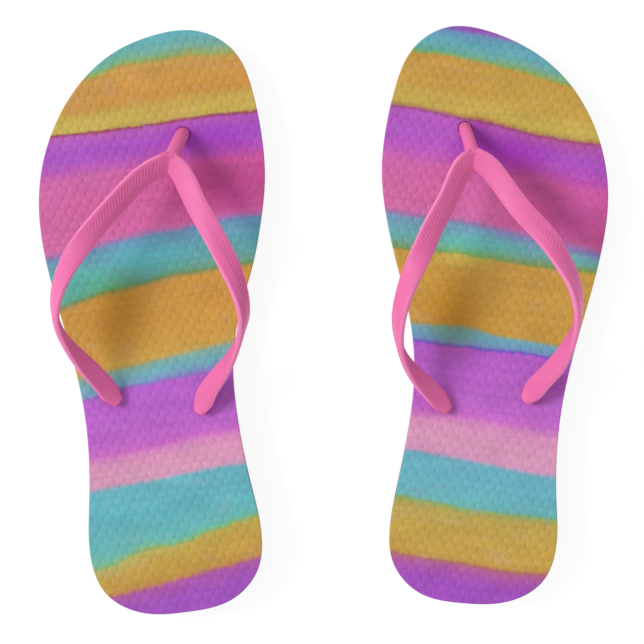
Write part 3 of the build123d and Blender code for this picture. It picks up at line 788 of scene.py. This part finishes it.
def tread(side):
    """Tread grooves as (u, v, length) in the ball line's axes."""
    turned = turn(np.array(OUTLINE[side]), FLEX_CENTRE[side], FLEX_TURN[side])
    holes = turn(np.array(holes_of(side)), FLEX_CENTRE[side], FLEX_TURN[side])
    out = []
    for k in range(-30, 16):
        v = (k + 0.5) * TREAD_PITCH
        spans = []
        for dv in (-TREAD_EDGE * 0.7, 0, TREAD_EDGE * 0.7):
            cut = []
            for p, q in zip(turned, np.roll(turned, -1, 0)):
                if (p[1] - v - dv) * (q[1] - v - dv) < 0:
                    cut.append(p[0] + (v + dv - p[1]) / (q[1] - p[1]) * (q[0] - p[0]))
            if len(cut) == 2:
                spans.append((min(cut), max(cut)))
        if len(spans) < 3:
            continue
        runs = [(max(t[0] for t in spans) + TREAD_EDGE, min(t[1] for t in spans) - TREAD_EDGE)]
        for hu, hv in holes:
            reach = RECESS_R + 3.0
            if abs(hv - v) < reach:
                half = (reach ** 2 - (hv - v) ** 2) ** 0.5 + TREAD_W
                runs = [r for lo, hi in runs for r in ((lo, min(hi, hu - half)), (max(lo, hu + half), hi))]
        out += [((lo + hi) / 2, v, hi - lo) for lo, hi in runs if hi - lo > 9]
    return out


def slot_ring(u, v, length, width, n_long):
    """Counter-clockwise ring of a round-ended groove; its first half is the lower long side."""
    r, h = width / 2, (length - width) / 2
    xs = np.linspace(-h, h, n_long)
    a = np.linspace(-90, 90, 9)[1:-1] * np.pi / 180
    low = np.stack([xs, np.full(n_long, -r)], 1)
    right = np.stack([h + r * np.cos(a), r * np.sin(a)], 1)
    high = np.stack([xs[::-1], np.full(n_long, r)], 1)
    left = np.stack([-h - r * np.cos(a), -r * np.sin(a)], 1)
    return np.vstack([low, right, high, left]) + (u, v)


def outsole(side, material):
    ring, nrm = OUTLINE_RING[side], OUT_NORMAL[side]
    fc, ft = np.array(FLEX_CENTRE[side]), FLEX_TURN[side]
    holes = holes_of(side)
    s = Solid()
    local = turn(ring, fc, ft)
    lh = turn(np.array(holes), fc, ft)
    # bottom face up to the top face, with a soft foxing line near the top
    wall = [(0.0, 0.9), (0.10, 0.45), (0.35, 0.12), (0.8, 0.0), (2.0, 0.0), (3.2, 0.0), (3.7, 0.10), (4.0, 0.45)]
    prev = first = None
    for z, d in wall:
        k = s.ring(ring - nrm * (d + 0.36), z, wear=1.0 if z < 0.3 else 0.0)
        if prev is None:
            first = k
        else:
            s.bridge(prev, k)
        prev = k
    last = prev
    grooves = tread(side)
    rims, floors = [], []
    for u, v, length in grooves:
        n = max(4, round(length / 4.0))
        a = slot_ring(u, v, length + 0.5, TREAD_W + 0.5, n)
        b = slot_ring(u, v, length + 0.05, TREAD_W + 0.05, n)
        c = slot_ring(u, v, length - 0.3, TREAD_W - 0.3, n)
        a, b, c = (unturn(k, fc, ft) for k in (a, b, c))
        ia, ib = s.ring(a, 0.0, wear=0.8), s.ring(b, 0.22, wear=0.2)
        ic, idd = s.ring(c, TREAD_D - 0.15), s.ring(unturn(slot_ring(u, v, length - 0.6, TREAD_W - 0.6, n), fc, ft), TREAD_D)
        # the groove opens downwards
        s.bridge(ib, ia)
        s.bridge(ic, ib)
        s.bridge(idd, ic)
        m = len(idd)
        # across the floor: strips between the two long sides, fans in the ends
        low, right, high, left = idd[:n], idd[n:n + 7], idd[n + 7:2 * n + 7], idd[2 * n + 7:]
        for i in range(n - 1):
            s.faces.append([int(low[i + 1]), int(low[i]), int(high[n - 1 - i]), int(high[n - 2 - i])])
        end = [int(low[-1]), *map(int, right), int(high[0])]
        s.faces.append(end[::-1])
        end = [int(high[-1]), *map(int, left), int(low[0])]
        s.faces.append(end[::-1])
        rims.append((a, ia))
    # recesses for the strap's discs, then the holes up to the top face
    tops = []
    for h in holes:
        m = 64
        a = s.ring(circle(h, RECESS_R + 0.35, m), 0.0, wear=0.8)
        b = s.ring(circle(h, RECESS_R, m), 0.3)
        c = s.ring(circle(h, RECESS_R, m), RECESS_D - 0.2)
        d = s.ring(circle(h, RECESS_R - 0.25, m), RECESS_D)
        e = s.ring(circle(h, HOLE_R, m), RECESS_D)
        f = s.ring(circle(h, HOLE_R, m), OUTSOLE_T)
        for x, y in ((a, b), (b, c), (c, d), (d, e), (e, f)):
            s.bridge(y, x)
        rims.append((circle(h, RECESS_R + 0.35, m), a))
        tops.append(f)
    # the bottom face between them
    base = lattice(local, 5.0, 3.5, 2.6, [(x, y, RECESS_R + 1.6) for x, y in lh])
    keep = np.ones(len(base), bool)
    for u, v, length in grooves:
        keep &= ~((np.abs(base[:, 1] - v) < TREAD_W / 2 + 0.8) & (np.abs(base[:, 0] - u) < length / 2 + 1.0))
    base = unturn(base[keep], fc, ft)
    inner = s.ring(base, 0.0, wear=1.0)
    F = fill([ring - nrm * 1.26] + [r for r, _ in rims], base)
    s.tris(np.concatenate([first] + [i for _, i in rims] + [inner])[F], flip=True)
    # top face
    cap = unturn(lattice(local, 5.0, 4.3, 3.0, [(x, y, HOLE_R + 2.4) for x, y in lh]), fc, ft)
    inner = s.ring(cap, OUTSOLE_T)
    F = fill([ring - nrm * 0.81] + [circle(h, HOLE_R, 64) for h in holes], cap)
    s.tris(np.concatenate([last, *tops, inner])[F])
    o = s.build(f"{side}_treaded_outsole", material)
    o.data.set_sharp_from_angle(angle=math.radians(50))
    return o


# ------------------------------------------------------------------ straps
STRAP_T = 3.4
RIDGE = -0.07      # the outer face's ridge, as a share of the width from its middle
RIB_PITCH = 1.83
RIB_LEAN = 0.80    # how far ribs run back per mm towards the ridge
RIB_H = 0.21


def frames(branch, out):
    """Samples along a branch with the band's own axes: A across, N out of the ribbed face, T along."""
    S = open_spline(branch, 0.6)
    P = S[:, :3]
    T = unit(np.gradient(P, axis=0))
    across = unit(np.cross(T, (0, 0, 1.0))) * out
    normal = unit(np.cross(across, T) * out)
    r = np.radians(S[:, 4])[:, None]
    A = across * np.cos(r) - normal * np.sin(r)
    N = normal * np.cos(r) + across * np.sin(r)
    s = np.r_[0, np.cumsum(np.linalg.norm(np.diff(P, axis=0), axis=1))]
    return {"P": P, "T": T, "A": A, "N": N, "s": s, "w": S[:, 3]}


def ribbed(s, early):
    """How much of the rib pattern shows s mm along a branch; one branch's ribs start at the junction, the other's later."""
    return smooth((s - 3.0) / 4.0) * smooth((55.0 - s) / 12.0) if early else 0.85 * smooth((s - 26.0) / 22.0) * smooth((82.0 - s) / 14.0)


def section(w, roof, soft, half):
    """The band's cross-section for width w: roofed ribbed face, flat smooth face, rolled edges.
    Without the roof it is a cushion, as soft-cornered as asked and half thick each way."""
    e = w / 2
    r = RIDGE * w
    P = np.array([
        (-e, 0.30), (-e + 0.12, 0.62), (-e + 0.55, 0.98), (-e + 1.35, 1.22), (r - 1.0, 1.58), (r, 1.72), (r + 1.0, 1.60), (e - 1.35, 1.16),
        (e - 0.55, 0.92), (e - 0.12, 0.56), (e, 0.20), (e - 0.02, -0.55), (e - 0.24, -1.12), (e - 0.80, -1.52), (e - 1.7, -1.66),
        (0, -1.68), (-e + 1.7, -1.66), (-e + 0.80, -1.52), (-e + 0.24, -1.12), (-e + 0.02, -0.55)])[::-1]
    cushion = np.sign(P[:, 1]) * half * (1 - np.minimum(np.abs(P[:, 0] / e), 1.0) ** soft) ** (1 / soft)
    P[:, 1] = P[:, 1] * roof + cushion * (1 - roof)
    return P


def tube(centres, radii, n=28):
    """A closed round bar through the centres; radii are (across x, across y) or one number."""
    C = np.array(centres, float)
    T = unit(np.gradient(C, axis=0))
    X = unit(np.cross((0.0, 1.0, 0.0), T))
    Y = np.cross(T, X)
    a = np.arange(n) * 2 * np.pi / n
    rows = [c + r * (np.cos(a)[:, None] * x + np.sin(a)[:, None] * y) for c, r, x, y in zip(C, radii, X, Y)]
    return np.vstack(rows), n


def add_bar(co, faces, rows, n):
    """Adds a closed bar made of rows of n points to lists of points and faces."""
    start = sum(len(c) for c in co)
    m = len(rows) // n
    co.append(rows)
    for i in range(m - 1):
        for j in range(n):
            k = (j + 1) % n
            faces.append([start + i * n + j, start + i * n + k, start + (i + 1) * n + k, start + (i + 1) * n + j])
    faces.append([start + j for j in range(n)][::-1])
    faces.append([start + (m - 1) * n + j for j in range(n)])


def strap(side, material):
    co, faces, lines = [], [], []
    for branch, out, peg in zip(BRANCHES[side], (1, -1), PEGS[side]):
        f = frames(branch, out)
        lines.append(f)
        rows = []
        P, T, A, N = f["P"], f["T"], f["A"], f["N"]
        n_s = len(P)
        roof = ribbed(f["s"], out > 0)
        tail = smooth((f["s"][-1] - f["s"]) / 30.0)
        for i in range(n_s):
            sec = section(f["w"][i], roof[i], 2.4 + 1.0 * tail[i], 1.28 + 0.38 * tail[i])
            rows.append(P[i] + sec[:, :1] * A[i] + sec[:, 1:] * N[i])
            if i == n_s - 1:
                # rounded tip
                for k in range(1, 9):
                    ang = k / 8 * np.pi / 2 * 0.96
                    reach = 1.4 * np.sin(ang)
                    slim = max(np.cos(ang), 0.08)
                    c = P[i] + T[i] * reach * np.array([1, 1, 0.2])
                    rows.append(c + sec[:, :1] * A[i] * slim ** 0.8 + sec[:, 1:] * N[i] * (0.35 + 0.65 * slim))
        add_bar(co, faces, np.vstack(rows) if out > 0 else np.vstack([r[::-1] for r in rows]), len(sec))
        # peg and disc
        qx, qy = peg
        t = float(top_z(qy))
        zs = np.array([PLUG_FOOT_Z, PLUG_FOOT_Z + 0.25, PLUG_FOOT_Z + PLUG_T - 0.3, PLUG_FOOT_Z + PLUG_T, PLUG_FOOT_Z + PLUG_T + 0.02, PLUG_FOOT_Z + PLUG_T + 0.5, t - 2, t + 0.2, t + 1.0, t + 2.2, t + 3.2])
        rs = [PLUG_R - 0.3, PLUG_R - 0.02, PLUG_R - 0.02, PLUG_R - 0.3, PEG_R + 0.12, PEG_R - 0.06, PEG_R - 0.06, PEG_R - 0.06, PEG_R + 0.1, PEG_R + 0.1, PEG_R - 0.4]
        lean = np.clip((zs - t) / 3.2, 0, 1)[:, None] * (-T[-1] * np.array([1, 1, 0])) * 1.4
        c = np.c_[np.full(len(zs), qx), np.full(len(zs), qy), zs] + lean
        rows = np.vstack([ci + np.c_[r * np.cos(np.arange(32) * np.pi / 16), r * np.sin(np.arange(32) * np.pi / 16), np.zeros(32)] for ci, r in zip(c, rs)])
        add_bar(co, faces, rows, 32)
    # toe post and its disc: upright in the sole, then leaning back to the junction
    px, py = POST[side]
    j = np.array(JUNCTION[side])
    t = float(top_z(py))
    base = np.array([px, py, 0.0])
    foot = [(PLUG_FOOT_Z, PLUG_R - 0.3), (PLUG_FOOT_Z + 0.25, PLUG_R - 0.02), (PLUG_FOOT_Z + PLUG_T - 0.3, PLUG_R - 0.02),
            (PLUG_FOOT_Z + PLUG_T, PLUG_R - 0.3), (PLUG_FOOT_Z + PLUG_T + 0.02, PEG_R + 0.12), (PLUG_FOOT_Z + PLUG_T + 0.5, PEG_R - 0.06),
            (8.0, PEG_R - 0.06), (t - 1.0, PEG_R - 0.06)]
    ring = np.c_[np.cos(np.arange(32) * np.pi / 16), np.sin(np.arange(32) * np.pi / 16), np.zeros(32)]
    rows = [base + (0, 0, z) + ring * r for z, r in foot]
    up = j + (0, 0, 1.0)
    start = base + (0, 0, t - 1.0)
    for k in range(1, 15):
        f = k / 14
        # a quadratic sweep from upright to the lean of the post
        ctrl = start + (0, 0, 6.5)
        c = start * (1 - f) ** 2 + ctrl * 2 * f * (1 - f) + up * f ** 2
        d = unit((ctrl - start) * (1 - f) + (up - ctrl) * f)
        x = unit(np.cross((0.0, 1.0, 0.0), d))
        y = np.cross(d, x)
        c = c + np.array([-0.3 if side == "left" else 0.0, -0.5, 0.0]) * smooth((f - 0.08) / 0.10) * smooth((1 - f) / 0.6)
        r = PEG_R - 0.06 + (0.30 if side == "left" else 0.02) * smooth((f - 0.08) / 0.10) + 0.22 * smooth((f - 0.6) / 0.4)
        rows.append(c + ring[:, :1] * x * r + ring[:, 1:2] * y * r)
    add_bar(co, faces, np.vstack(rows), 32)

    raw = bpy.data.meshes.new("strap_raw")
    raw.from_pydata(np.vstack(co).tolist(), [], faces)
    raw.validate()
    tmp = bpy.data.objects.new("strap_raw", raw)
    bpy.context.scene.collection.objects.link(tmp)
    mod = tmp.modifiers.new("one skin", "REMESH")
    mod.mode, mod.voxel_size, mod.adaptivity = "VOXEL", 0.362, 0.0
    dg = bpy.context.evaluated_depsgraph_get()
    mesh = bpy.data.meshes.new_from_object(tmp.evaluated_get(dg), depsgraph=dg)
    bpy.data.objects.remove(tmp)
    mesh.name = f"{side}_moulded_strap"
    n = len(mesh.vertices)
    V = np.zeros(n * 3)
    mesh.vertices.foreach_get("co", V)
    V = V.reshape(-1, 3)
    E = np.zeros(len(mesh.edges) * 2, int)
    mesh.edges.foreach_get("vertices", E)
    E = E.reshape(-1, 2)
    deg = np.bincount(E.ravel(), minlength=n)[:, None]

    def relax(V, times, k=0.5, keep=None):
        for step in range(times):
            # a shrinking and a growing step in turn keep the thickness
            for f in (k, -k * 0.9):
                S = np.zeros_like(V)
                for ax in range(3):
                    S[:, ax] = np.bincount(E[:, 0], V[E[:, 1], ax], n) + np.bincount(E[:, 1], V[E[:, 0], ax], n)
                move = (S / deg - V) * f
                if keep is not None:
                    move *= keep[:, None]
                V = V + move
        return V

    V = relax(V, 4)
    # where each point lies on its band
    best = None
    for b, f in enumerate(lines):
        # the branch whose ribs start at the junction, and the one where they start later
        early = (b == 0)
        tree = KDTree(len(f["P"]))
        for i, p in enumerate(f["P"]):
            tree.insert(p, i)
        tree.balance()
        hit = [tree.find(v) for v in V.tolist()]
        idx = np.array([h[1] for h in hit])
        dist = np.array([h[2] for h in hit])
        d = V - f["P"][idx]
        s = f["s"][idx] + np.einsum("ij,ij->i", d, f["T"][idx])
        a = np.einsum("ij,ij->i", d, f["A"][idx])
        m = np.einsum("ij,ij->i", d, f["N"][idx])
        over = np.abs(np.einsum("ij,ij->i", d, f["T"][idx]))
        fade = ribbed(s, early)
        now = np.stack([dist, s, a, m, f["w"][idx], over, np.full(n, f["s"][-1]), fade], 1)
        best = now if best is None else np.where((now[:, 0] < best[:, 0])[:, None], now, best)
    dist, s, a, m, w, over, length, run = best.T
    on_band = (over < 1.2) & (np.abs(a) < w / 2 + 0.4) & (np.abs(m) < 2.4)
    e = w / 2
    # herringbone ribs on the outer face
    across = a - RIDGE * w
    phase = (s + RIB_LEAN * np.abs(across)) / RIB_PITCH
    wave = 0.5 + 0.5 * np.cos(2 * np.pi * phase)
    rib = smooth(wave)
    border = smooth((e - np.abs(a) - 1.5) / 0.8)
    row = 0.38 + 0.62 * smooth((across + 0.5) / 0.9)     # the short inner row is fainter
    face = smooth((m - 0.35) / 0.35)
    mask = np.where(on_band, border * run * face * row, 0.0)
    mesh.vertices.foreach_set("co", V.ravel())
    mesh.update()
    NV = np.zeros(n * 3)
    mesh.vertices.foreach_get("normal", NV)
    NV = NV.reshape(-1, 3)
    V = V + NV * (mask * (rib - 0.5) * RIB_H)[:, None]
    V[:, 2] = np.maximum(V[:, 2], 0.3)
    mesh.vertices.foreach_set("co", (V * 0.001).ravel())
    mesh.update()
    add_vector(mesh, "rest", V)
    # mask for the painted shade in the rib grooves
    add_float(mesh, "groove", mask * (1 - rib))
    # mask for the painted highlight along the band's thin edges
    rim = smooth((np.abs(a) - (e - 0.75)) / 0.5) * (m > -0.9) * smooth((s - 2) / 4)
    add_float(mesh, "edge", np.where(on_band, rim * smooth((length - s - 2) / 6), 0.0))
    mesh.materials.clear()
    return piece(mesh.name, mesh, material)


# ------------------------------------------------------------------ the pair
strap_mat, foam_mat, rubber_mat = strap_material(), foam_material(), outsole_material()
for side in SIDES:
    made = {
        "footbed": footbed(side, footbed_material(side)),
        "midsole": midsole(side, foam_mat),
        "outsole": outsole(side, rubber_mat),
    }
    band = strap(side, strap_mat)
    for layer, o in made.items():
        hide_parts(f"{side}_{layer}_toe", f"{side}_{layer}_heel")
    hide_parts(f"{side}_strap")
    for o in (*made.values(), band):
        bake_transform(o)

# ------------------------------------------------------------------ studio
scene = bpy.context.scene
s = Shader("studio_floor")
tex = s.add("TexCoord").outputs["Object"]
tone = s.madd(s.noise(tex, 3.0, 2.0), 0.01, 0.16)
b = s.add("BsdfPrincipled", {"Base Color": s.grey(tone), "Roughness": 0.9, "Emission Color": (1, 1, 1, 1), "Emission Strength": 0.88})
s.links.new(b.outputs[0], s.add("OutputMaterial").inputs[0])
floor_mesh = bpy.data.meshes.new("floor")
floor_mesh.from_pydata([(-4, -4, -0.0004), (4, -4, -0.0004), (4, 4, -0.0004), (-4, 4, -0.0004)], [], [(0, 1, 2, 3)])
floor = bpy.data.objects.new("floor", floor_mesh)
floor.data.materials.append(s.mat)
scene.collection.objects.link(floor)

world = bpy.data.worlds.new("studio")
world.use_nodes = True
wn = world.node_tree
wn.nodes.clear()
bg_light = wn.nodes.new("ShaderNodeBackground")
bg_light.inputs[0].default_value = (1.0, 1.0, 1.0, 1)
bg_light.inputs[1].default_value = 0.615
bg_seen = wn.nodes.new("ShaderNodeBackground")
bg_seen.inputs[0].default_value = (1.0, 1.0, 1.0, 1)
bg_seen.inputs[1].default_value = 1.0
path = wn.nodes.new("ShaderNodeLightPath")
mixer = wn.nodes.new("ShaderNodeMixShader")
world_out = wn.nodes.new("ShaderNodeOutputWorld")
wn.links.new(path.outputs["Is Camera Ray"], mixer.inputs[0])
wn.links.new(bg_light.outputs[0], mixer.inputs[1])
wn.links.new(bg_seen.outputs[0], mixer.inputs[2])
wn.links.new(mixer.outputs[0], world_out.inputs[0])
scene.world = world

key = bpy.data.lights.new("key", "SUN")
key.energy = 1.84
key.angle = math.radians(23)
key_o = bpy.data.objects.new("key", key)
key_o.rotation_euler = Vector((0.72, -0.14, -0.66)).to_track_quat("-Z", "Y").to_euler()
scene.collection.objects.link(key_o)

scene.view_settings.view_transform = "Standard"
scene.view_settings.look = "None"

cam = bpy.data.cameras.new("camera")
cam.sensor_width = 36.0
cam.lens = 36.0 * 1485 / 286
cam.clip_start = 0.01
cam_o = bpy.data.objects.new("camera", cam)
cam_o.location = (-0.00055, -0.00084, 1.5)
scene.collection.objects.link(cam_o)
scene.camera = cam_o
